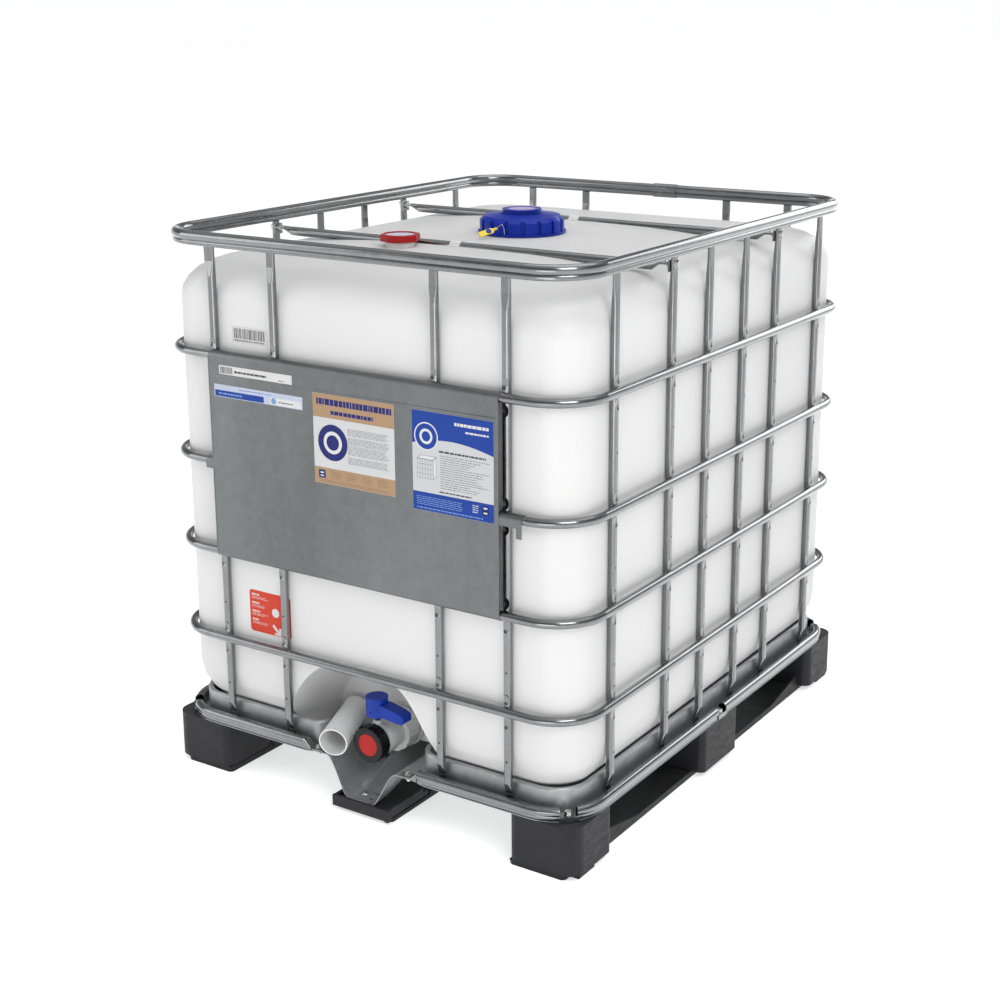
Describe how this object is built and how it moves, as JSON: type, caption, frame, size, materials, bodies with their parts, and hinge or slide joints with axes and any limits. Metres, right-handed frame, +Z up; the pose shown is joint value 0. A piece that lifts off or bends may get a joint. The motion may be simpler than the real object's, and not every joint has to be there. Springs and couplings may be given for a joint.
{
  "type": "intermediate bulk container",
  "caption": "Liquid container: translucent bottle in a tubular steel cage on a sheet tray with plastic feet, with a filling lid, a bung, an outlet valve with lever and cap, and a spout.",
  "frame": {"origin": "centre of the footprint at floor level", "axes": "+Z up, +X to the right along the outlet side, outlet side towards -Y"},
  "size_m": [1.0012, 1.2025, 1.147],
  "materials": {
    "galvanised_tube": "zinc-coated tube, satin with bright highlights",
    "galvanised_sheet": "zinc-coated sheet, dull spangle",
    "plate_sheet": "zinc-coated sheet, smooth satin",
    "zinc_bolt": "bright zinc plate",
    "natural_polyethylene": "milky translucent, soft sheen",
    "spout_polyethylene": "translucent white",
    "foot_plastic": "moulded black, satin",
    "runner_plastic": "moulded black, satin",
    "blue_lid": "moulded blue",
    "blue_lever": "moulded blue",
    "lilac_disc": "pale lilac film",
    "red_cap": "moulded red",
    "pale_disc": "pale blue-white",
    "yellow_tag": "moulded yellow with a blue dot",
    "seal_wire_steel": "thin bright wire",
    "gasket_rubber": "soft black",
    "valve_white": "moulded white",
    "white_nut": "moulded, natural milky white",
    "valve_disc_plastic": "moulded white",
    "black_cap": "moulded black",
    "red_disc": "moulded red",
    "sticker_strip": "printed label",
    "sticker_pouch": "printed label",
    "sticker_notice_left": "printed label",
    "sticker_notice_right": "printed label",
    "sticker_white": "printed label",
    "sticker_red": "printed label"
  },
  "bodies": {
    "container": {"barcode_strip": "sticker_strip", "bottle": "natural_polyethylene", "bottle_label_red": "sticker_red", "bottle_label_white": "sticker_white", "bottom_rim": "galvanised_tube", "centre_runner": "runner_plastic", "chute_bolt": "zinc_bolt", "cross_bar_bolts": "zinc_bolt", "cross_bar_front": "galvanised_tube", "cross_bar_rear": "galvanised_tube", "document_pouch": "sticker_pouch", "front_foot": "foot_plastic", "front_left_foot": "foot_plastic", "front_right_foot": "foot_plastic", "front_uprights": "galvanised_tube", "label_plate": "plate_sheet", "left_foot": "foot_plastic", "left_runner": "runner_plastic", "left_uprights": "galvanised_tube", "middle_foot": "foot_plastic", "notice_left": "sticker_notice_left", "notice_right": "sticker_notice_right", "rear_foot": "foot_plastic", "rear_left_foot": "foot_plastic", "rear_right_foot": "foot_plastic", "rear_uprights": "galvanised_tube", "right_foot": "foot_plastic", "right_runner": "runner_plastic", "right_uprights": "galvanised_tube", "rim_bolts": "zinc_bolt", "rim_joint_sleeve": "galvanised_tube", "ring_1": "galvanised_tube", "ring_2": "galvanised_tube", "ring_3": "galvanised_tube", "ring_4": "galvanised_tube", "top_rim": "galvanised_tube", "tray": "galvanised_sheet", "union_gasket": "gasket_rubber", "union_nut": "white_nut", "valve_body": "valve_white"},
    "lid": {"lid": "blue_lid", "lid_gasket": "gasket_rubber", "seal_tag": "yellow_tag", "seal_button": "blue_lever", "seal_wire": "seal_wire_steel"},
    "plug": {"lid_plug": "blue_lid", "plug_disc": "lilac_disc", "plug_gasket": "gasket_rubber"},
    "bung": {"bung_cap": "red_cap", "bung_disc": "pale_disc", "bung_gasket": "gasket_rubber"},
    "valve_lever": {"lever": "blue_lever", "lever_pin": "zinc_bolt", "valve_stem": "blue_lever", "butterfly_disc": "valve_disc_plastic"},
    "dust_cap": {"outlet_cap": "black_cap", "outlet_cap_disc": "red_disc", "outlet_cap_gasket": "gasket_rubber"},
    "spout": {"spout": "spout_polyethylene"}
  },
  "joints": [
    {"name": "lid_lift", "type": "slide", "parent": "container", "child": "lid", "axis": [0, 0, 1], "range_m": [0, 0.15]},
    {"name": "plug_lift", "type": "slide", "parent": "lid", "child": "plug", "axis": [0, 0, 1], "range_m": [0, 0.06]},
    {"name": "bung_lift", "type": "slide", "parent": "container", "child": "bung", "axis": [0, 0, 1], "range_m": [0, 0.06]},
    {"name": "valve_lever_turn", "type": "hinge", "parent": "container", "child": "valve_lever", "pos_m": [0, -0.535, 0.2], "axis": [0, 0, -1], "range_deg": [0, 90]},
    {"name": "dust_cap_pull", "type": "slide", "parent": "container", "child": "dust_cap", "axis": [0, -1, 0], "range_m": [0, 0.06]},
    {"name": "spout_pull", "type": "slide", "parent": "container", "child": "spout", "axis": [0.3151, -0.9432, -0.105], "range_m": [0, 0.22]}
  ]
}
